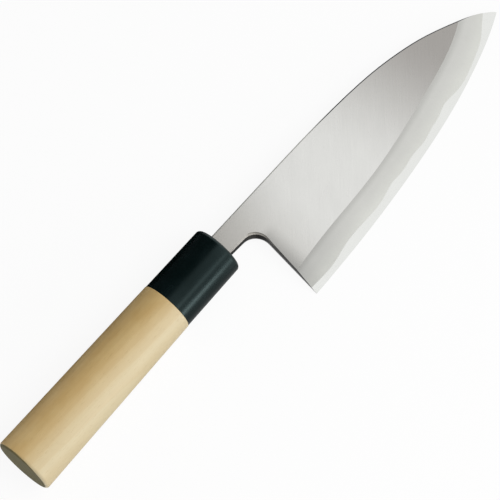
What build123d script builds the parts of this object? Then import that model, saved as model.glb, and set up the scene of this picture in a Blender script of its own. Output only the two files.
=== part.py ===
from build123d import *
import os

# Deba kitchen knife: a laminated blade ground on one face, its stick tang glued
# into an oval wooden handle with a moulded ferrule.
# X runs from the butt to the tip, Y towards the spine, Z out of the ground face.
# The origin is the centre of the butt face, and every length is in millimetres.

# Wooden handle
wood_length = 92.6
butt_height = 27.4
butt_thickness = 21.5
joint_height = 24.7
joint_thickness = 20.4
butt_rounding = 1.5
shoulder_rounding = 0.4
wood_proud = 0.15

# Ferrule
ferrule_length = 34.0
front_height = 24.0
front_thickness = 19.7
ferrule_wall = 1.8
front_wall = 3.0
front_rounding = 1.6

# Fits between the handle's pieces
tenon_clearance = 0.05
tenon_end_gap = 0.4
resin_gap = 0.4
resin_recess = 0.5

# Blade outline
blade_length = 150.0
heel_depth = 49.45
tip_drop = 24.75
spine_drop = 6.25
heel_setback = 14.4
heel_slant = 3.0
choil_radius = 7.8

# Neck and tang
neck_height = 11.35
neck_flare = 0.75
tang_length = 85.0
tang_height = 8.5
tang_end_height = 5.5

# Thickness and grind
spine_thickness = 5.0
tip_thickness = 1.6
face_taper = 0.7
bevel_width = 13.4
edge_land = 0.15
spine_easing = 0.5

# Wall filed at a slant under the neck and round the choil, above a square land on the back
wall_land = 0.5
neck_wall_slant = 0.8
choil_wall_slant = 0.75
heel_wall_slant = 0.2
wall_top_radius = 7.0

# Bevel rubbed round the neck and choil on the ground face
choil_bevel_depth = 0.7
neck_bevel_width = 0.45
choil_bevel_width = 0.6
heel_bevel_width = 0.75
choil_bevel_radius = 6.6
choil_bevel_reach = 24.0

# Hollow in the back and its flat rim
rim_width = 2.4
hollow_depth = 0.25
hollow_bank_width = 6.0

# Hard steel layer on the back
steel_thickness = 1.25
steel_lap = 6.0

# Cutting tools run past the work by this much
overrun = 5.0

# Shares of the blade's length, of the edge's rise to the tip and of the bevel's width
grind_shares = [
    (-0.040, -0.010, 0.95),
    (0.000, 0.000, 0.96),
    (0.231, 0.065, 1.03),
    (0.472, 0.206, 1.00),
    (0.716, 0.449, 1.06),
    (0.840, 0.640, 1.09),
    (0.965, 0.903, 1.40),
    (1.000, 1.000, 1.55),
    (1.040, 1.120, 1.70),
]

# Shares of the blade's length and of the spine's drop to the tip
spine_shares = [
    (0.230, 0.000),
    (0.425, 0.024),
    (0.519, 0.055),
    (0.617, 0.115),
    (0.714, 0.222),
    (0.776, 0.318),
    (0.850, 0.478),
    (0.904, 0.616),
    (0.952, 0.762),
    (0.984, 0.900),
]
spine_end_direction = (1, -2)

# Shares of the blade's length and of the hard layer's thickness, along its wavy weld
weld_shares = [
    (-0.016, 1.00),
    (0.064, 0.78),
    (0.097, 0.77),
    (0.137, 0.90),
    (0.184, 1.00),
    (0.224, 0.92),
    (0.264, 0.80),
    (0.337, 0.69),
    (0.395, 0.85),
    (0.444, 0.70),
    (0.491, 0.74),
    (0.551, 0.58),
    (0.604, 0.61),
    (0.643, 0.59),
    (0.675, 0.65),
    (0.704, 0.55),
    (0.737, 0.39),
    (0.765, 0.31),
    (0.791, 0.29),
    (0.851, 0.31),
    (0.908, 0.36),
    (0.938, 0.45),
    (0.967, 0.50),
    (1.020, 0.62),
]

# Shares of the blade's length where the hollow's outline follows spine and edge
hollow_start_share = 0.040
hollow_shares = [0.110, 0.231, 0.472, 0.640]
hollow_tip_share = 0.800


def between(low, high, share):
    """Value at a share of the way from one value to another."""
    return low + (high - low) * share


# Places worked out from the sizes
handle_length = wood_length + ferrule_length
handle_top = butt_height / 2
heel_x = handle_length + heel_setback
tip_x = heel_x + blade_length
spine_y = handle_top - spine_drop
heel_y = spine_y - heel_depth
tip_y = spine_y - tip_drop
neck_under_y = spine_y - neck_height
choil_x = heel_x + heel_slant
choil_y = neck_under_y - neck_flare
back_z = -spine_thickness / 2
face_z = spine_thickness / 2
tang_end_x = handle_length - tang_length
neck_inner_x = handle_length - front_wall
tang_mid_y = spine_y - neck_height / 2


def across(x):
    """Plane across the handle at a distance from the butt, its own x towards the spine."""
    return Plane(origin=(x, 0, 0), x_dir=(0, 1, 0), z_dir=(1, 0, 0))


def oval(height, thickness, inset=0):
    """Oval of the handle, hung from the straight line along its top."""
    with Locations((handle_top - height / 2, 0)):
        Ellipse(height / 2 - inset, thickness / 2 - inset)


def ferrule_size(x):
    """Height and thickness of the ferrule's oval at a distance from the butt."""
    share = (x - wood_length) / ferrule_length
    height = between(joint_height, front_height, share)
    thickness = between(joint_thickness, front_thickness, share)
    return height, thickness


def edge_point(rise_shares):
    """Point of the cutting edge from its shares of length and rise."""
    return (between(heel_x, tip_x, rise_shares[0]), between(heel_y, tip_y, rise_shares[1]))


def spine_point(drop_shares):
    """Point of the spine from its shares of length and drop."""
    return (between(heel_x, tip_x, drop_shares[0]), between(spine_y, tip_y, drop_shares[1]))


def face_height(x, y):
    """Height of the ground face over the back, thinner to the tip and to the edge."""
    along = (spine_thickness - tip_thickness) * (x - handle_length) / (tip_x - handle_length)
    return spine_thickness - along - face_taper * (spine_y - y) / heel_depth


def follow(rows, share):
    """Second share of a table at a share of the blade's length, along straight runs."""
    for (low, low_value), (high, high_value) in zip(rows, rows[1:]):
        if low <= share <= high:
            return between(low_value, high_value, (share - low) / (high - low))
    return rows[0][1]


def tang_corners(grow):
    """Corners of the tang and the neck's end in the ferrule, grown all round by a gap."""
    neck_half = neck_height / 2 + grow
    root_half = tang_height / 2 + grow
    end_half = tang_end_height / 2 + grow
    root_x = neck_inner_x
    end_x = tang_end_x - grow
    return [
        (root_x, tang_mid_y - neck_half),
        (root_x, tang_mid_y - root_half),
        (end_x, tang_mid_y - end_half),
        (end_x, tang_mid_y + end_half),
        (root_x, tang_mid_y + root_half),
        (root_x, tang_mid_y + neck_half),
    ]


# Blade blank with its neck and tang, before grinding
edge_points = [edge_point(row) for row in grind_shares if 0 <= row[0] <= 1]
spine_points = [spine_point(row) for row in spine_shares]
with BuildPart() as blank:
    with BuildSketch(Plane.XY.offset(back_z)) as blank_outline:
        with BuildLine():
            tang_path = tang_corners(0)
            Polyline((handle_length, neck_under_y), *tang_path, spine_points[0])
            Spline(*spine_points, (tip_x, tip_y), tangents=[(1, 0), spine_end_direction])
            Spline(*edge_points[::-1])
            Polyline((heel_x, heel_y), (choil_x, choil_y), (handle_length, neck_under_y))
        make_face()
        choil_corner = blank_outline.vertices().sort_by_distance((choil_x, choil_y, back_z))[0]
        fillet(choil_corner, radius=choil_radius)
    extrude(amount=spine_thickness)

# Wedge that grinds the bevel, drawn across the blade at each station
with BuildPart() as bevel_wedge:
    for length_share, rise_share, bevel_share in grind_shares:
        x, edge_y = edge_point((length_share, rise_share))
        width = bevel_width * bevel_share
        rise = face_height(x, edge_y + width) - edge_land
        slope = rise / width
        with BuildSketch(across(x)):
            with BuildLine():
                Polyline(
                    (edge_y - overrun, back_z + edge_land - overrun * slope),
                    (edge_y + width + overrun, back_z + edge_land + (width + overrun) * slope),
                    (edge_y + width + overrun, face_z + overrun),
                    (edge_y - overrun, face_z + overrun),
                    close=True,
                )
            make_face()
    loft()


def beyond_choil(neck_width, choil_width, heel_width):
    """Corners of the space under the neck and behind the heel, the choil's corner first."""
    reach_y = choil_y - choil_bevel_reach
    heel_line_x = between(choil_x, heel_x, (choil_y - reach_y) / (choil_y - heel_y))
    return [
        (choil_x + heel_width, choil_y + choil_width),
        (heel_line_x, reach_y),
        (heel_x, heel_y),
        (heel_x - overrun, heel_y - overrun),
        (neck_inner_x, heel_y - overrun),
        (neck_inner_x, neck_under_y + neck_width),
    ]


# Slanted wall and rubbed bevel under the neck and round the choil
choil_face_z = back_z + face_height(choil_x, choil_y)
bevel_low_z = choil_face_z - choil_bevel_depth
bevel_stretch = (face_z - bevel_low_z) / choil_bevel_depth
wall_slants = (neck_wall_slant, choil_wall_slant, heel_wall_slant)
bevel_widths = (neck_bevel_width, choil_bevel_width, heel_bevel_width)
top_widths = [slant + width * bevel_stretch for slant, width in zip(wall_slants, bevel_widths)]
choil_rows = [
    (back_z + wall_land, (0, 0, 0), choil_radius),
    (bevel_low_z, wall_slants, wall_top_radius),
    (face_z, top_widths, choil_bevel_radius),
]
with BuildPart() as choil_wedge:
    for region_z, widths, corner_radius in choil_rows:
        corners = beyond_choil(*widths)
        with BuildSketch(Plane.XY.offset(region_z)) as region:
            with BuildLine():
                Polyline(*corners, close=True)
            make_face()
            fillet(region.vertices().sort_by_distance(corners[0])[0], radius=corner_radius)
    loft(ruled=True)


def hollow_outline(margin):
    """Points round the hollow at a margin inside the spine and the edge."""
    spine_rows = [(0, 0), *spine_shares, (1, 1)]
    edge_rows = [(row[0], row[1]) for row in grind_shares]
    upper = []
    lower = []
    for share in hollow_shares:
        x = between(heel_x, tip_x, share)
        upper.append((x, between(spine_y, tip_y, follow(spine_rows, share)) - margin))
        lower.append((x, between(heel_y, tip_y, follow(edge_rows, share)) + margin))
    end_low = between(heel_y, tip_y, follow(edge_rows, hollow_tip_share))
    end_high = between(spine_y, tip_y, follow(spine_rows, hollow_tip_share))
    start = (between(heel_x, tip_x, hollow_start_share) + margin, (upper[0][1] + lower[0][1]) / 2)
    end = (between(heel_x, tip_x, hollow_tip_share) - margin, (end_low + end_high) / 2)
    return [start, *upper, end, *lower[::-1]]


# Shallow hollow of the back, banked down from its flat rim
with BuildPart() as back_hollow:
    for depth, margin in ((0, rim_width), (hollow_depth, rim_width + hollow_bank_width)):
        with BuildSketch(Plane.XY.offset(back_z + depth)):
            with BuildLine():
                Spline(*hollow_outline(margin), periodic=True)
            make_face()
    loft(ruled=True)

# Ground blade, both layers in one
slope_along = (spine_thickness - tip_thickness) / (tip_x - handle_length)
slope_across = face_taper / heel_depth
ground_plane = Plane(
    origin=(handle_length, spine_y, face_z),
    z_dir=(slope_along, -slope_across, 1),
)
with BuildPart() as blade:
    add(blank.part)
    split(bisect_by=ground_plane, keep=Keep.BOTTOM)
    add(bevel_wedge.part, mode=Mode.SUBTRACT)
    spine_walls = blade.faces().filter_by(
        lambda face: face.normal_at().Y > abs(face.normal_at().X)
        and abs(face.normal_at().Z) < slope_along
        and face.center().X > handle_length
    )
    chamfer([wall.edges().sort_by(Axis.Z)[-1] for wall in spine_walls], length=spine_easing)
    add(choil_wedge.part, mode=Mode.SUBTRACT)
    add(back_hollow.part, mode=Mode.SUBTRACT)

# Space of the hard layer under its wavy weld, ending in a scarf at the neck
weld_points = []
for length_share, thickness_share in weld_shares:
    weld_x = between(heel_x, tip_x, length_share)
    weld_points.append((weld_x, back_z + steel_thickness * thickness_share))
with BuildPart() as hard_space:
    with BuildSketch(Plane.XZ.offset(-spine_y - overrun)):
        with BuildLine():
            Spline(*weld_points)
            Polyline(
                weld_points[-1],
                (tip_x + overrun, back_z - steel_thickness),
                (heel_x - steel_lap, back_z - steel_thickness),
                weld_points[0],
            )
        make_face()
    extrude(amount=heel_depth + 2 * overrun)

with BuildPart() as edge_steel:
    add(blade.part)
    add(hard_space.part, mode=Mode.INTERSECT)

with BuildPart() as blade_body:
    add(blade.part)
    add(hard_space.part, mode=Mode.SUBTRACT)

# Space round the tang that the resin fills, from the ferrule's front to the hole's end
with BuildPart() as tang_space:
    with BuildSketch(Plane.XY.offset(back_z - resin_gap)):
        with BuildLine():
            Polyline(
                (handle_length, neck_under_y - resin_gap),
                *tang_corners(resin_gap),
                (handle_length, spine_y + resin_gap),
                close=True,
            )
        make_face()
    extrude(amount=spine_thickness + 2 * resin_gap)

# Ferrule with its socket for the handle's tenon and the slot for the neck
with BuildPart() as ferrule:
    for x in (wood_length, handle_length):
        with BuildSketch(across(x)):
            oval(*ferrule_size(x), wood_proud)
    loft()
    fillet(ferrule.edges().filter_by_position(Axis.X, handle_length, handle_length), front_rounding)
    for x in (wood_length, neck_inner_x):
        with BuildSketch(across(x)):
            oval(*ferrule_size(x), wood_proud + ferrule_wall)
    loft(mode=Mode.SUBTRACT)
    add(tang_space.part, mode=Mode.SUBTRACT)

# Wooden handle with the tenon in the ferrule and the tang's hole
with BuildPart() as handle:
    with BuildSketch(across(0)):
        oval(butt_height, butt_thickness)
    with BuildSketch(across(wood_length)):
        oval(joint_height, joint_thickness)
    loft()
    fillet(handle.edges().filter_by_position(Axis.X, 0, 0), butt_rounding)
    shoulder = handle.edges().filter_by_position(Axis.X, wood_length, wood_length)
    fillet(shoulder, shoulder_rounding)
    for x in (wood_length, neck_inner_x - tenon_end_gap):
        with BuildSketch(across(x)):
            oval(*ferrule_size(x), wood_proud + ferrule_wall + tenon_clearance)
    loft()
    add(tang_space.part, mode=Mode.SUBTRACT)

# Cured resin that beds the tang, a little below the ferrule's front
with BuildPart() as tang_resin:
    add(tang_space.part)
    split(bisect_by=across(handle_length - resin_recess), keep=Keep.BOTTOM)
    add(blade.part, mode=Mode.SUBTRACT)

pieces = {
    "blade_body": blade_body,
    "edge_steel": edge_steel,
    "ferrule": ferrule,
    "handle": handle,
    "tang_resin": tang_resin,
}
os.makedirs("parts", exist_ok=True)
for name, piece in pieces.items():
    piece.part.label = name
    export_step(piece.part, f"parts/{name}.step")
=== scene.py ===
import math
import bmesh
import bpy
from mathutils import Matrix, Vector


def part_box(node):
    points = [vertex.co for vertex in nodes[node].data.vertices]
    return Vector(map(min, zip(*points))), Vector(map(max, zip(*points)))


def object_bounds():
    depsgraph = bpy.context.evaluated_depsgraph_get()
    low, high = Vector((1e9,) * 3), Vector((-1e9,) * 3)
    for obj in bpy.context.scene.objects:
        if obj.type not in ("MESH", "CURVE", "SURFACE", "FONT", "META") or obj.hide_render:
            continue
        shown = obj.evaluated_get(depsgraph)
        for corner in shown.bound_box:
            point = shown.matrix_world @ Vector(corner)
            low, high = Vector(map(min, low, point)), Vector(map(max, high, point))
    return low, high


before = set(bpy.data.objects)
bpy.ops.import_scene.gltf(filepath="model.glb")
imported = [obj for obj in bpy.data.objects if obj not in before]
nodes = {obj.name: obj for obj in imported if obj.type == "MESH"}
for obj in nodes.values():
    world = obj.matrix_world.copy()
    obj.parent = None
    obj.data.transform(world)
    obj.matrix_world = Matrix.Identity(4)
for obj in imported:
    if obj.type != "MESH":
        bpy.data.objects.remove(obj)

# Deba kitchen knife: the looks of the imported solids, the studio and the camera.
# Lengths are in metres in the solids' own frame: X runs from the butt to the tip,
# Y towards the spine and Z out of the ground face.

MM = 0.001
WHITE = (1, 1, 1, 1)

cad_low, cad_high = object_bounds()

# Places read from the frame
wood_low, wood_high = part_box("handle")
ferrule_low, ferrule_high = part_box("ferrule")
blade_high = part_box("blade_body")[1]
neck_x = ferrule_high.x
back_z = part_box("edge_steel")[0].z
face_z = blade_high.z
spine_y = blade_high.y

# Least Z in the normal of a face that looks up
LOOKS_UP = 0.99


def flat_fall(mesh):
    """Falls of the blade's flat along X and Y, from the largest face that looks up."""
    upward = [face for face in mesh.polygons if face.normal.z > LOOKS_UP]
    normal = max(upward, key=lambda face: face.area).normal
    return normal.x / normal.z, normal.y / normal.z


flat_slopes = flat_fall(nodes["blade_body"].data)


# Small builders for node trees
class Tree:
    """Node tree of a material or of the world, with short calls for its usual nodes."""

    def __init__(self, owner):
        owner.use_nodes = True
        self.tree = owner.node_tree
        self.tree.nodes.clear()

    def put(self, socket, value):
        """Gives an input a plain value, or joins another node's socket to it."""
        if isinstance(value, bpy.types.NodeSocket):
            self.tree.links.new(value, socket)
        else:
            socket.default_value = value

    def node(self, kind, inputs=None, **settings):
        """New node with its settings, and its inputs as values or as other nodes' sockets."""
        made = self.tree.nodes.new(kind)
        for name, value in settings.items():
            setattr(made, name, value)
        for name, value in (inputs or {}).items():
            self.put(made.inputs[name], value)
        return made

    def maths(self, operation, *values):
        """Result of one sum on numbers or sockets."""
        return self.node(
            "ShaderNodeMath", dict(enumerate(values)), operation=operation
        ).outputs[0]

    def both(self, first, second):
        """Share where two shares meet."""
        return self.maths("MULTIPLY", first, second)

    def length(self, first, second):
        """Length of a flat vector from its two parts."""
        squares = [self.maths("MULTIPLY", part, part) for part in (first, second)]
        return self.maths("SQRT", self.maths("ADD", *squares))

    def parts(self, vector):
        """The X, Y and Z of a vector."""
        return self.node("ShaderNodeSeparateXYZ", {0: vector}).outputs

    def above(self, value, low, high):
        """Smooth step from 0 at low to 1 at high, which may run either way."""
        return self.node(
            "ShaderNodeMapRange",
            {"Value": value, "From Min": low, "From Max": high, "To Min": 0.0, "To Max": 1.0},
            interpolation_type="SMOOTHSTEP",
        ).outputs["Result"]

    def spread(self, value, low, high):
        """Value from 0 to 1 stretched to run from low to high."""
        return self.node(
            "ShaderNodeMapRange", {"Value": value, "To Min": low, "To Max": high}
        ).outputs["Result"]

    def blend(self, share, first, second, **settings):
        """Colour between two colours, or made of both in the way that the settings name."""
        made = self.node("ShaderNodeMix", data_type="RGBA", **settings)
        for name, value in (("Factor_Float", share), ("A_Color", first), ("B_Color", second)):
            self.put(next(s for s in made.inputs if s.identifier == name), value)
        return next(s for s in made.outputs if s.identifier == "Result_Color")

    def shade(self, colour, share, low, high):
        """Colour times a factor that runs from low to high as a share runs from 0 to 1."""
        factor = self.spread(share, low, high)
        even = self.node("ShaderNodeCombineColor", {0: factor, 1: factor, 2: factor}).outputs[0]
        return self.blend(1.0, colour, even, blend_type="MULTIPLY")

    def grain(self, place, cell, turn=(0, 0, 0), detail=3.0, roughness=0.55):
        """Noise from 0 to 1 whose grains have a size in metres, turned by angles in degrees."""
        fitted = self.node(
            "ShaderNodeMapping",
            {"Vector": place, "Rotation": [math.radians(a) for a in turn], "Scale": cell},
            vector_type="TEXTURE",
        ).outputs[0]
        return self.node(
            "ShaderNodeTexNoise",
            {"Vector": fitted, "Scale": 1.0, "Detail": detail, "Roughness": roughness},
        ).outputs[0]

    def bumped(self, height, strength, depth):
        """Normal bent by a height map whose full range is a depth in metres."""
        return self.node(
            "ShaderNodeBump", {"Height": height, "Strength": strength, "Distance": depth}
        ).outputs[0]

    def finish(self, kind, inputs):
        """Last shader of a material, joined to its output."""
        surface = self.node(kind, inputs).outputs[0]
        self.node("ShaderNodeOutputMaterial", {"Surface": surface})


def srgb(red, green, blue):
    """Linear colour from the 0 to 255 values that a screen shows."""
    shares = [value / 255 for value in (red, green, blue)]
    linear = [s / 12.92 if s <= 0.04045 else ((s + 0.055) / 1.055) ** 2.4 for s in shares]
    return (*linear, 1.0)


def material(name):
    """New material and its empty tree."""
    made = bpy.data.materials.new(name)
    return made, Tree(made)


def surface_place(tree):
    """Place on the solid in metres."""
    return tree.node("ShaderNodeTexCoord").outputs["Object"]


def surface_facts(tree):
    """Place on the solid, its parts, and the parts of the face's own normal."""
    place = surface_place(tree)
    true_normal = tree.node("ShaderNodeNewGeometry").outputs["True Normal"]
    return place, tree.parts(place), tree.parts(true_normal)


def dress(node, made):
    """Gives a CAD node its finished material in place of the plain one."""
    for held in nodes[node].material_slots:
        held.material = made


# Steel
FLAT = srgb(223, 223, 220)
# Painted shade: the flat's darker tones at the tip and at the neck
FLAT_SHADED_AT_TIP = srgb(165, 162, 158)
FLAT_SHADED_AT_NECK = srgb(191, 189, 184)
# Painted shade along the ridge, where the bevel meets the flat
RIDGE_SHADE = srgb(191, 191, 187)
BEVEL_HIGH = srgb(207, 207, 203)
BEVEL_LOW = srgb(219, 220, 214)
HARD_STRIP = srgb(230, 231, 228)
BACK_RIM = srgb(214, 215, 212)
BACK_HOLLOW = srgb(192, 193, 191)
WALL = srgb(22, 21, 20)
SPINE_WALL = srgb(168, 168, 165)
# Roundings at the neck and choil: the neck's keeps a pale steel tone, the choil's is painted shade
# with a darker painted line along its edge
NECK_BEVEL = srgb(215, 212, 206)
CHOIL_BEVEL = srgb(140, 137, 131)
CHOIL_LINE = srgb(98, 95, 90)
# Spine's easing: pale near the neck, with painted shade darkening it to the tip
EASING = srgb(214, 214, 210)
EASING_SHADED_AT_TIP = srgb(52, 53, 55)

# Sizes of the grains along X, Y and Z, and the brushing's turn in degrees
BRUSH_TURN = (0, 0, 42.7)
BRUSH_CELL = (22 * MM, 0.5 * MM, 0.5 * MM)
FINE_BRUSH_CELL = (8 * MM, 0.18 * MM, 0.18 * MM)
CLOUD_CELL = (14 * MM, 6 * MM, 6 * MM)
HAZE_CELL = (6 * MM, 4 * MM, 4 * MM)
HONE_CELL = (0.5 * MM, 9 * MM, 0.5 * MM)
STRIP_HAZE_CELL = (7 * MM, 5 * MM, 5 * MM)
RIM_HONE_CELL = (11 * MM, 0.35 * MM, 0.35 * MM)
SCOUR_CELL = (0.4 * MM, 14 * MM, 0.4 * MM)

# Least and greatest factor by which a grain shades a colour
BRUSH_SHADES = (0.955, 1.04)
CLOUD_SHADES = (0.965, 1.03)
FINE_SHADES = (0.975, 1.02)
RIM_SHADES = (0.96, 1.03)
SCOUR_SHADES = (0.93, 1.05)

# Ways that faces look, as bands of the normal's parts or of its length across Z
WALL_BAND = (0.45, 0.25)
SPINE_WALL_BAND = (0.2, 0.5)
EASING_BAND_Y = (0.2, 0.4)
EASING_BAND_Z = (0.3, 0.45)
GROUND_BAND = (0.034, 0.046)
# Band of the roundings at the neck and choil, which take painted shade
SHADED_ROUNDING_BAND = (0.42, 0.50)
SHADED_ROUNDING_BAND_Y = (0.2, 0.0)
NECK_BAND_X = (-0.3, -0.03)
BACK_BAND_Z = (-0.5, -0.8)

# Bands of the depth under the flat, as shares of the way to the back and then in metres, and
# the band of Z where the rim of the back turns to its hollow
RIDGE_DROP = (0.0, 0.22)
BEVEL_DROP = (0.2, 0.85)
CHOIL_LINE_DEPTH = (0.32 * MM, 0.10 * MM)
HOLLOW_BAND_Z = (back_z + 0.01 * MM, back_z + 0.06 * MM)

# Painted shade: tones of the flat fade darker to the tip along slanted lines, and towards the neck
TIP_FADE = (neck_x + 64 * MM, neck_x + 137 * MM)
TIP_FADE_SLANT = 0.35
TIP_FADE_LEVEL = -10.4 * MM
# Painted shade: the spine's easing darkens over this band, near where the flat's fade to the tip
# begins
EASING_FADE = (TIP_FADE[0] - 2 * MM, TIP_FADE[0] + 14 * MM)
NECK_FADE = (neck_x + 42 * MM, neck_x + 2 * MM)

# Painted shade: the heel is darker on the flat and less so on the bevel, which also darkens towards
# the neck
HEEL_SHADE_X = (neck_x + 25 * MM, neck_x + 14 * MM)
HEEL_SHADE_Y = (-6 * MM, -11 * MM)
HEEL_SHADE = 0.63
HEEL_SHADE_OF_BEVEL = 0.86
BEVEL_SHADE_X = (neck_x + 58 * MM, neck_x + 20 * MM)
BEVEL_SHADE = 0.83

# Roughness, and what some places add to it
BRUSHED_ROUGHNESS = (0.22, 0.30)
GROUND_ROUGHER = 0.14
WALL_ROUGHER = 0.12
EASING_ROUGHER = 0.4
POLISHED_ROUGHNESS = 0.22
HOLLOW_ROUGHER = 0.12

# Strength and depth of the bumps, and the fine brushing's share in them
SOFT_STEEL_BUMP = (0.35, 0.004 * MM)
HARD_STEEL_BUMP = (0.3, 0.003 * MM)
FINE_RELIEF = 0.6


def steel_walls(tree, normal):
    """Share of wall from how steeply a face stands, and the walls' colour, paler at the spine."""
    share = tree.above(tree.maths("ABSOLUTE", normal[2]), *WALL_BAND)
    return share, tree.blend(tree.above(normal[1], *SPINE_WALL_BAND), WALL, SPINE_WALL)


def under_flat(tree, xyz):
    """Depth of a place under the blade's flat, and its share of the way down to the back."""
    fall_x, fall_y = flat_slopes
    flat_z = tree.maths("MULTIPLY_ADD", tree.maths("SUBTRACT", xyz[0], neck_x), -fall_x, face_z)
    flat_z = tree.maths("MULTIPLY_ADD", tree.maths("SUBTRACT", xyz[1], spine_y), -fall_y, flat_z)
    depth = tree.maths("SUBTRACT", flat_z, xyz[2])
    return depth, tree.maths("DIVIDE", depth, tree.maths("SUBTRACT", flat_z, back_z))


def soft_steel():
    """Soft steel: flat brushed at a slant, hazy bevel, dark walls at the neck and choil, and painted
    shade to the tip, at the neck and heel, along the ridge, on the choil's rounding and on the
    spine's easing.
    """
    made, tree = material("soft_steel_brushed")
    place, xyz, normal = surface_facts(tree)
    wall, wall_colour = steel_walls(tree, normal)
    depth, drop = under_flat(tree, xyz)
    sideways = tree.length(normal[0], normal[1])
    ground = tree.above(sideways, *GROUND_BAND)
    easing = tree.both(tree.above(normal[1], *EASING_BAND_Y), tree.above(normal[2], *EASING_BAND_Z))
    # Roundings at the neck and choil, which take painted shade
    shaded_rounding = tree.both(tree.above(sideways, *SHADED_ROUNDING_BAND), tree.above(normal[1], *SHADED_ROUNDING_BAND_Y))

    brush = tree.grain(place, BRUSH_CELL, BRUSH_TURN, detail=4.0, roughness=0.6)
    fine = tree.grain(place, FINE_BRUSH_CELL, BRUSH_TURN, detail=2.0)
    cloud = tree.grain(place, CLOUD_CELL, BRUSH_TURN, detail=2.0)
    haze = tree.grain(place, HAZE_CELL, detail=4.0)
    hone = tree.grain(place, HONE_CELL, detail=3.0, roughness=0.6)

    # Painted shade: the flat darkens to the tip and to the neck
    over_level = tree.maths("SUBTRACT", xyz[1], TIP_FADE_LEVEL)
    slanted = tree.maths("MULTIPLY_ADD", over_level, TIP_FADE_SLANT, xyz[0])
    flat = tree.blend(tree.above(slanted, *TIP_FADE), FLAT, FLAT_SHADED_AT_TIP)
    flat = tree.blend(tree.above(xyz[0], *NECK_FADE), flat, FLAT_SHADED_AT_NECK)
    flat = tree.shade(flat, brush, *BRUSH_SHADES)
    flat = tree.shade(flat, fine, *FINE_SHADES)
    flat = tree.shade(flat, cloud, *CLOUD_SHADES)

    # Painted shade along the ridge, then the bevel's own tones down to the edge
    bevel = tree.blend(tree.above(drop, *RIDGE_DROP), RIDGE_SHADE, BEVEL_HIGH)
    bevel = tree.blend(tree.above(drop, *BEVEL_DROP), bevel, BEVEL_LOW)
    # Painted shade on the bevel towards the neck
    bevel = tree.shade(bevel, tree.above(xyz[0], *BEVEL_SHADE_X), 1.0, BEVEL_SHADE)
    bevel = tree.shade(bevel, haze, *CLOUD_SHADES)
    bevel = tree.shade(bevel, hone, *FINE_SHADES)

    colour = tree.blend(ground, flat, bevel)
    # Painted shade at the heel, lighter on the bevel than on the flat
    heel = tree.both(tree.above(xyz[0], *HEEL_SHADE_X), tree.above(xyz[1], *HEEL_SHADE_Y))
    heel_shade = tree.spread(ground, HEEL_SHADE, HEEL_SHADE_OF_BEVEL)
    colour = tree.shade(colour, heel, 1.0, heel_shade)
    # Painted shade: the spine's easing turns dark towards the tip
    tipward = tree.above(xyz[0], *EASING_FADE)
    colour = tree.blend(easing, colour, tree.blend(tipward, EASING, EASING_SHADED_AT_TIP))
    # Painted shade on the choil's rounding, darker in a line at its edge; the neck's rounding stays
    # pale
    choil = tree.blend(tree.above(depth, *CHOIL_LINE_DEPTH), CHOIL_BEVEL, CHOIL_LINE)
    choil = tree.blend(tree.above(normal[0], *NECK_BAND_X), choil, NECK_BEVEL)
    colour = tree.blend(shaded_rounding, colour, choil)
    colour = tree.blend(wall, colour, wall_colour)

    pale_easing = tree.both(easing, tree.maths("SUBTRACT", 1.0, tipward))
    roughness = tree.spread(brush, *BRUSHED_ROUGHNESS)
    for share, rougher in (
        (ground, GROUND_ROUGHER), (wall, WALL_ROUGHER), (pale_easing, EASING_ROUGHER)
    ):
        roughness = tree.maths("MULTIPLY_ADD", share, rougher, roughness)
    relief = tree.maths("MULTIPLY_ADD", fine, FINE_RELIEF, brush)
    tree.finish("ShaderNodeBsdfPrincipled", {
        "Base Color": colour,
        "Metallic": 1.0,
        "Roughness": roughness,
        "Normal": tree.bumped(relief, *SOFT_STEEL_BUMP),
    })
    return made


def hard_steel():
    """Hard steel: bright polished strip at the edge, honed rim and ground hollow on the back."""
    made, tree = material("hard_steel_polished")
    place, xyz, normal = surface_facts(tree)
    wall, wall_colour = steel_walls(tree, normal)
    back = tree.above(normal[2], *BACK_BAND_Z)
    in_hollow = tree.above(xyz[2], *HOLLOW_BAND_Z)

    haze = tree.grain(place, STRIP_HAZE_CELL, detail=3.0)
    hone = tree.grain(place, RIM_HONE_CELL, detail=3.0)
    scour = tree.grain(place, SCOUR_CELL, detail=3.0, roughness=0.6)

    strip = tree.shade(HARD_STRIP, haze, *FINE_SHADES)
    rim = tree.shade(BACK_RIM, hone, *RIM_SHADES)
    hollow = tree.shade(BACK_HOLLOW, scour, *SCOUR_SHADES)
    colour = tree.blend(back, strip, tree.blend(in_hollow, rim, hollow))
    colour = tree.blend(wall, colour, wall_colour)
    relief = tree.blend(back, haze, tree.blend(in_hollow, hone, scour))
    scoured = tree.both(in_hollow, back)
    tree.finish("ShaderNodeBsdfPrincipled", {
        "Base Color": colour,
        "Metallic": 1.0,
        "Roughness": tree.maths("MULTIPLY_ADD", scoured, HOLLOW_ROUGHER, POLISHED_ROUGHNESS),
        "Normal": tree.bumped(relief, *HARD_STEEL_BUMP),
    })
    return made


# Wood
WOOD = srgb(199, 165, 103)
WOOD_PALE = srgb(207, 178, 121)
# Painted sheen: paler, whiter colour on the underside of the handle
WOOD_PAINTED_SHEEN = srgb(201, 186, 150)
WOOD_RING = srgb(180, 145, 88)
WOOD_PORE = srgb(150, 116, 66)
WOOD_END = srgb(99, 92, 57)
WOOD_END_RING = srgb(84, 76, 42)

# The rings' centre lies off the handle along Y and Z, and they run out of line along it
RING_WIDTH = 2.6 * MM
PITH_OFFSET = (34 * MM, -21 * MM)
GRAIN_RUNOUT = (0.010, -0.016)
RING_WANDER_CELL = (60 * MM, 9 * MM, 9 * MM)
RING_WANDER = 0.9
RING_RISE = (0.2, 0.85)
RING_DROP = (1.0, 0.88)

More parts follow.
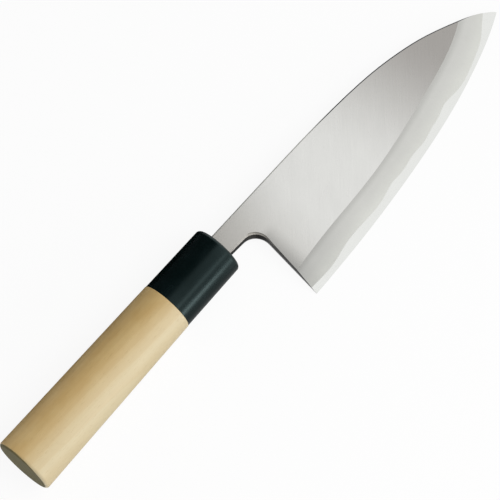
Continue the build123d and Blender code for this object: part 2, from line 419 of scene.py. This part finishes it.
# Sizes of the grains along X, Y and Z
FIBRE_CELL = (30 * MM, 0.5 * MM, 0.5 * MM)
WOOD_CLOUD_CELL = (14 * MM, 6 * MM, 6 * MM)
PORE_CELL = (2.6 * MM, 0.2 * MM, 0.2 * MM)
SPECK_CELL = (9 * MM, 0.3 * MM, 0.3 * MM)

# Bands of the grains and of the height, and the shares and shades of what they colour
WOOD_CLOUD_BAND = (0.25, 0.75)
PORE_BAND = (0.66, 0.74)
# Band of height over which the underside takes the painted sheen, and the end grain's reach changes
UNDERSIDE_BAND_Y = (8 * MM, -9 * MM)
RING_SHARE = 0.12
PORE_SHARE = 0.3
END_RING_SHARE = 0.5
FIBRE_SHADES = (0.94, 1.05)
SPECK_SHADES = (0.86, 1.1)

# End grain starts and is full at these X of the normal, on the spine's side and at the underside; on
# the spine's side its dark colour reaches further round the rounding as painted shade
END_STARTS = (-0.43, -0.92)
END_FULL = (-0.63, -0.995)

SANDED_ROUGHNESS = (0.42, 0.54)
END_ROUGHNESS = 0.85
WOOD_SPECULAR = 0.7
WOOD_BUMP = (0.5, 0.02 * MM)
PORE_RELIEF = 0.8


def pale_wood():
    """Sanded pale wood: faint rings that run out along the handle, fibres, pores, end grain carried
    further round by painted shade on the spine's side, and a painted sheen on the underside.
    """
    made, tree = material("pale_wood_sanded")
    place, xyz, normal = surface_facts(tree)

    off_pith = [
        tree.maths("SUBTRACT", tree.maths("MULTIPLY_ADD", xyz[0], runout, part), offset)
        for part, runout, offset in zip((xyz[1], xyz[2]), GRAIN_RUNOUT, PITH_OFFSET)
    ]
    wander = tree.grain(place, RING_WANDER_CELL, detail=2.0)
    rings_out = tree.maths("DIVIDE", tree.length(*off_pith), RING_WIDTH)
    phase = tree.maths("FRACT", tree.maths("MULTIPLY_ADD", wander, RING_WANDER, rings_out))
    ring = tree.both(tree.above(phase, *RING_RISE), tree.above(phase, *RING_DROP))

    fibre = tree.grain(place, FIBRE_CELL, detail=3.0, roughness=0.6)
    cloud = tree.grain(place, WOOD_CLOUD_CELL, detail=3.0)
    pore = tree.above(tree.grain(place, PORE_CELL, detail=1.0), *PORE_BAND)
    speck = tree.grain(place, SPECK_CELL, detail=2.0)
    underside = tree.above(xyz[1], *UNDERSIDE_BAND_Y)
    # End grain's dark colour, carried further round on the spine's side as painted shade
    end = tree.above(
        normal[0], tree.spread(underside, *END_STARTS), tree.spread(underside, *END_FULL)
    )

    colour = tree.blend(tree.above(cloud, *WOOD_CLOUD_BAND), WOOD, WOOD_PALE)
    # Painted sheen on the underside
    colour = tree.blend(underside, colour, WOOD_PAINTED_SHEEN)
    colour = tree.blend(tree.maths("MULTIPLY", ring, RING_SHARE), colour, WOOD_RING)
    colour = tree.shade(colour, fibre, *FIBRE_SHADES)
    colour = tree.blend(tree.maths("MULTIPLY", pore, PORE_SHARE), colour, WOOD_PORE)
    end_colour = tree.blend(tree.maths("MULTIPLY", ring, END_RING_SHARE), WOOD_END, WOOD_END_RING)
    end_colour = tree.shade(end_colour, speck, *SPECK_SHADES)
    colour = tree.blend(end, colour, end_colour)

    sanded = tree.spread(fibre, *SANDED_ROUGHNESS)
    relief = tree.maths("SUBTRACT", fibre, tree.maths("MULTIPLY", pore, PORE_RELIEF))
    tree.finish("ShaderNodeBsdfPrincipled", {
        "Base Color": colour,
        "Roughness": tree.maths("MAXIMUM", sanded, tree.maths("MULTIPLY", end, END_ROUGHNESS)),
        "Specular IOR Level": WOOD_SPECULAR,
        "Normal": tree.bumped(relief, *WOOD_BUMP),
    })
    return made


# Plastic
PLASTIC = srgb(1, 9, 9)
PLASTIC_CLOUDED = srgb(5, 15, 16)
PLASTIC_CLOUD_CELL = (9 * MM, 4 * MM, 4 * MM)
PLASTIC_CLOUD_BAND = (0.35, 0.75)
BLOOM_CELL = (0.5 * MM, 0.5 * MM, 0.5 * MM)
SHEEN_TINT = (0.72, 1.0, 1.0, 1.0)
PLASTIC_ROUGHNESS = (0.24, 0.29)
PLASTIC_SPECULAR = 0.44
PLASTIC_BUMP = (0.2, 0.008 * MM)

# Resin
RESIN = srgb(78, 70, 56)
LUMP_CELL = (0.8 * MM, 0.8 * MM, 0.8 * MM)
LUMP_SHADES = (0.75, 1.15)
RESIN_ROUGHNESS = (0.5, 0.7)
RESIN_BUMP = (0.5, 0.05 * MM)


def black_plastic():
    """Moulded black plastic with a faint cloudiness and a fine bloom."""
    made, tree = material("black_plastic_moulded")
    place = surface_place(tree)
    cloud = tree.grain(place, PLASTIC_CLOUD_CELL, detail=3.0)
    bloom = tree.grain(place, BLOOM_CELL, detail=3.0)
    clouded = tree.above(cloud, *PLASTIC_CLOUD_BAND)
    tree.finish("ShaderNodeBsdfPrincipled", {
        "Base Color": tree.blend(clouded, PLASTIC, PLASTIC_CLOUDED),
        "Roughness": tree.spread(cloud, *PLASTIC_ROUGHNESS),
        "Specular IOR Level": PLASTIC_SPECULAR,
        "Specular Tint": SHEEN_TINT,
        "Normal": tree.bumped(bloom, *PLASTIC_BUMP),
    })
    return made


def cured_resin():
    """Dull filler in the slot round the neck."""
    made, tree = material("cured_resin_dull")
    lumps = tree.grain(surface_place(tree), LUMP_CELL, detail=3.0)
    tree.finish("ShaderNodeBsdfPrincipled", {
        "Base Color": tree.shade(RESIN, lumps, *LUMP_SHADES),
        "Roughness": tree.spread(lumps, *RESIN_ROUGHNESS),
        "Normal": tree.bumped(lumps, *RESIN_BUMP),
    })
    return made


dress("blade_body", soft_steel())
dress("edge_steel", hard_steel())
dress("handle", pale_wood())
dress("ferrule", black_plastic())
dress("tang_resin", cured_resin())


# Plane that the knife rests on when it lies on its left side
STEEL_DENSITY = 7800
WOOD_DENSITY = 450
PLASTIC_DENSITY = 1100
DENSITIES = {
    "blade_body": STEEL_DENSITY,
    "edge_steel": STEEL_DENSITY,
    "handle": WOOD_DENSITY,
    "ferrule": PLASTIC_DENSITY,
    "tang_resin": PLASTIC_DENSITY,
}

# Hull faces of less than half this area, in square metres, are slivers and carry nothing
SLIVER = 1e-12


def mass_and_moment(mesh, density):
    """Mass of a closed mesh and its first moment, from the pyramids under its faces."""
    mass = 0.0
    moment = Vector((0, 0, 0))
    mesh.calc_loop_triangles()
    for triangle in mesh.loop_triangles:
        a, b, c = (mesh.vertices[index].co for index in triangle.vertices)
        part = density * a.dot(b.cross(c)) / 6
        mass += part
        moment += part * (a + b + c) / 4
    return mass, moment


def resting_face():
    """Point and upward normal of the plane under the hull's face that carries the knife."""
    total = 0.0
    moments = Vector((0, 0, 0))
    hull = bmesh.new()
    for name, density in DENSITIES.items():
        mass, moment = mass_and_moment(nodes[name].data, density)
        total += mass
        moments += moment
        hull.from_mesh(nodes[name].data)
    balance = moments / total
    bmesh.ops.delete(hull, geom=list(hull.faces), context="FACES_ONLY")
    bmesh.ops.delete(hull, geom=list(hull.edges), context="EDGES_FACES")
    bmesh.ops.convex_hull(hull, input=list(hull.verts))
    best = None
    for face in hull.faces:
        corners = [vertex.co.copy() for vertex in face.verts]
        normal = (corners[1] - corners[0]).cross(corners[2] - corners[0])
        if normal.length < SLIVER:
            continue
        normal.normalize()
        if normal.dot(balance - corners[0]) > 0:
            normal.negate()
        foot = balance - normal * normal.dot(balance - corners[0])
        sides = [
            (corners[(i + 1) % 3] - corners[i]).cross(foot - corners[i]).dot(normal) for i in range(3)
        ]
        carried = all(side >= 0 for side in sides) or all(side <= 0 for side in sides)
        if carried and (best is None or normal.z < best[1].z):
            best = (corners[0], normal)
    hull.free()
    return best[0], -best[1]


rest_point, rest_up = resting_face()


# Floor under the knife
FLOOR_HALF = 2.5
FLOOR_TONE = 0.90
SHADOW_SHARE = 0.10


def grey(tone):
    """Colour of one tone in red, green and blue."""
    return (tone, tone, tone, 1)


def panel(name, centre, across, along):
    """Flat rectangle in the scene, from its centre and two half sides."""
    corners = [
        centre - across - along,
        centre + across - along,
        centre + across + along,
        centre - across + along,
    ]
    mesh = bpy.data.meshes.new(name)
    mesh.from_pydata(corners, [], [(0, 1, 2, 3)])
    mesh.update()
    made = bpy.data.objects.new(name, mesh)
    bpy.context.scene.collection.objects.link(made)
    return made


def seen_directly(tree):
    """1 for rays from the camera and for those that mirror or pass light, 0 for the rest."""
    paths = tree.node("ShaderNodeLightPath").outputs
    mirrored = tree.maths("MAXIMUM", paths["Is Glossy Ray"], paths["Is Transmission Ray"])
    return tree.maths("MAXIMUM", paths["Is Camera Ray"], mirrored)


def floor_material():
    """Pale floor that reads white, keeps a soft shadow and doesn't hide the knife from below."""
    made, tree = material("floor_pale")
    lit = tree.node("ShaderNodeBsdfDiffuse", {"Color": grey(FLOOR_TONE)}).outputs[0]
    white = tree.node("ShaderNodeEmission", {"Strength": 1.0}).outputs[0]
    kept = tree.node("ShaderNodeMixShader", {0: SHADOW_SHARE, 1: white, 2: lit}).outputs[0]
    pale = tree.node("ShaderNodeMixShader", {0: seen_directly(tree), 1: lit, 2: kept}).outputs[0]
    clear = tree.node("ShaderNodeBsdfTransparent").outputs[0]
    below = tree.node("ShaderNodeNewGeometry").outputs["Backfacing"]
    tree.finish("ShaderNodeMixShader", {0: below, 1: pale, 2: clear})
    return made


middle = (cad_low + cad_high) / 2
floor_middle = middle - rest_up * rest_up.dot(middle - rest_point)
floor_along = Vector((1, 0, 0))
floor_along = (floor_along - rest_up * rest_up.dot(floor_along)).normalized()
floor_across = rest_up.cross(floor_along)
floor = panel("floor", floor_middle, floor_along * FLOOR_HALF, floor_across * FLOOR_HALF)
floor.data.materials.append(floor_material())


# White world with a softer level for diffuse light
WORLD_LEVEL = 0.30

world = bpy.data.worlds.new("studio")
bpy.context.scene.world = world
world_tree = Tree(world)
world_soft = world_tree.node("ShaderNodeBackground", {"Color": WHITE, "Strength": WORLD_LEVEL})
world_white = world_tree.node("ShaderNodeBackground", {"Color": WHITE, "Strength": 1.0})
world_mix = world_tree.node("ShaderNodeMixShader", {
    0: seen_directly(world_tree), 1: world_soft.outputs[0], 2: world_white.outputs[0]
})
world_tree.node("ShaderNodeOutputWorld", {"Surface": world_mix.outputs[0]})


# Soft lamps: place from the middle of the knife, width, height and radiance
LAMPS = {
    "top_lamp": (Vector((0.14, -0.42, 1.08)), 1.1, 1.1, 2.65),
    "side_lamp": (Vector((0.05, -0.91, 0.43)), 1.5, 0.34, 2.7),
}


def area_lamp(name, offset, width, height, radiance):
    """Rectangular soft lamp of a given radiance that faces the middle and isn't mirrored."""
    lamp = bpy.data.lights.new(name, "AREA")
    lamp.shape = "RECTANGLE"
    lamp.size = width
    lamp.size_y = height
    lamp.energy = radiance * math.pi * width * height
    made = bpy.data.objects.new(name, lamp)
    bpy.context.scene.collection.objects.link(made)
    made.location = middle + offset
    made.rotation_mode = "QUATERNION"
    made.rotation_quaternion = (-offset).to_track_quat("-Z", "Y")
    made.visible_camera = False
    made.visible_glossy = False


for name, lamp_facts in LAMPS.items():
    area_lamp(name, *lamp_facts)


# Strips, flags, veils and cards round the knife, which only reflections show

# Strips on the edge's side, set out from a point of the ferrule: rise above the level in degrees,
# distance, end along X, height and strength
STRIP_START = wood_low.x + 40 * MM
STRIP_AIM_Y = ferrule_low.y / 2
STRIP_AIM_Z = ferrule_high.z * 0.8
STRIPS = {
    "bright_strip": (26, 0.18, ferrule_high.x + 47 * MM, 41 * MM, 4.5),
    "soft_strip": (61, 0.06, ferrule_high.x + 20 * MM, 10 * MM, 1.9),
}

# Dark flags and grey veils bent round X: first and last angle in degrees, from 0 towards the
# spine to 90 straight up, number of facets, radius, start and end along X, and strength
VEIL_RUN = (ferrule_low.x + 14 * MM, ferrule_high.x + 17 * MM)
ARCS = {
    "flag": (-8, 78, 3, 0.13, ferrule_low.x - 25 * MM, ferrule_high.x + 75 * MM, 0.045),
    "veil": (78, 145, 3, 0.075, *VEIL_RUN, 0.44),
    "low_veil": (163, 178, 1, 0.075, *VEIL_RUN, 0.5),
}

# Matt cards just above the floor, from the butt's end on: near side along Y, the way they run
# from it, end along X and tone
CARD_CLEARANCE = 0.5 * MM
CARD_WIDTH = 0.35
CARD_OVERLAP = 5 * MM
CARDS = {
    "card_spine": (wood_high.y - CARD_OVERLAP, 1, neck_x + 45 * MM, 0.01),
    "card_edge": (wood_low.y + CARD_OVERLAP, -1, neck_x + 12 * MM, 0.47),
}


def card(name, centre, across, along, kind, inputs):
    """Panel of one shader that is seen in reflections alone."""
    made = panel(name, centre, across, along)
    card_material, tree = material(name)
    tree.finish(kind, inputs)
    made.data.materials.append(card_material)
    made.visible_camera = False
    made.visible_diffuse = False
    made.visible_shadow = False


def glowing_card(name, centre, across, along, strength):
    """Card that gives off an even white or grey."""
    card(name, centre, across, along, "ShaderNodeEmission", {"Strength": strength})


for name, (degrees, reach, run_end, height, strength) in STRIPS.items():
    rise = math.radians(degrees)
    strip_middle = Vector((
        (STRIP_START + run_end) / 2,
        STRIP_AIM_Y - reach * math.cos(rise),
        STRIP_AIM_Z + reach * math.sin(rise),
    ))
    strip_across = Vector(((run_end - STRIP_START) / 2, 0, 0))
    strip_along = Vector((0, math.sin(rise), math.cos(rise))) * height / 2
    glowing_card(name, strip_middle, strip_across, strip_along, strength)

for name, (first, last, count, reach, run_start, run_end, strength) in ARCS.items():
    half_angle = math.radians(last - first) / (2 * count)
    across = Vector(((run_end - run_start) / 2, 0, 0))
    for number in range(count):
        rise = math.radians(first) + (2 * number + 1) * half_angle
        centre = Vector(((run_start + run_end) / 2, reach * math.cos(rise), reach * math.sin(rise)))
        along = Vector((0, -math.sin(rise), math.cos(rise))) * reach * math.tan(half_angle)
        glowing_card(f"{name}_{number}", centre, across, along, strength)

for name, (start, side, run_end, tone) in CARDS.items():
    centre = Vector((run_end / 2, start + side * CARD_WIDTH / 2, 0))
    centre = centre - rest_up * (rest_up.dot(centre - rest_point) - CARD_CLEARANCE)
    across = floor_along * (run_end / 2)
    along = floor_across * CARD_WIDTH / 2
    card(name, centre, across, along, "ShaderNodeBsdfDiffuse", {"Color": grey(tone)})


# Camera at the photograph's viewing angle
VIEW_ROUND = 15.0
VIEW_BELOW = 4.0
VIEW_ROLL = 48.452
VIEW_DISTANCE = 1.5
PIXELS_PER_METRE = 2338
IMAGE_PIXELS = 500
SENSOR = 36.0
NEAR_CLIP = 0.05
FAR_CLIP = 20
REFERENCE_POINT = Vector((0.145, -0.008, 0.0))
REFERENCE_SHIFT = (6.07 * MM, 7.23 * MM)

turn = math.radians(VIEW_ROUND)
below = math.radians(VIEW_BELOW)
roll = math.radians(VIEW_ROLL)
towards_camera = Vector((
    -math.sin(turn) * math.cos(below), -math.sin(below), math.cos(turn) * math.cos(below)
))
level_right = Vector((math.cos(turn), 0, math.sin(turn)))
level_up = towards_camera.cross(level_right)
image_right = level_right * math.cos(roll) - level_up * math.sin(roll)
image_up = level_right * math.sin(roll) + level_up * math.cos(roll)
aim = REFERENCE_POINT - image_right * REFERENCE_SHIFT[0] - image_up * REFERENCE_SHIFT[1]

camera_data = bpy.data.cameras.new("camera")
camera_data.sensor_width = SENSOR
camera_data.lens = SENSOR * VIEW_DISTANCE * PIXELS_PER_METRE / IMAGE_PIXELS
camera_data.clip_start = NEAR_CLIP
camera_data.clip_end = FAR_CLIP
camera = bpy.data.objects.new("camera", camera_data)
bpy.context.scene.collection.objects.link(camera)
camera_place = aim + towards_camera * VIEW_DISTANCE
camera.matrix_world = Matrix((
    (image_right.x, image_up.x, towards_camera.x, camera_place.x),
    (image_right.y, image_up.y, towards_camera.y, camera_place.y),
    (image_right.z, image_up.z, towards_camera.z, camera_place.z),
    (0, 0, 0, 1),
))
bpy.context.scene.camera = camera
bpy.context.scene.view_settings.view_transform = "Standard"
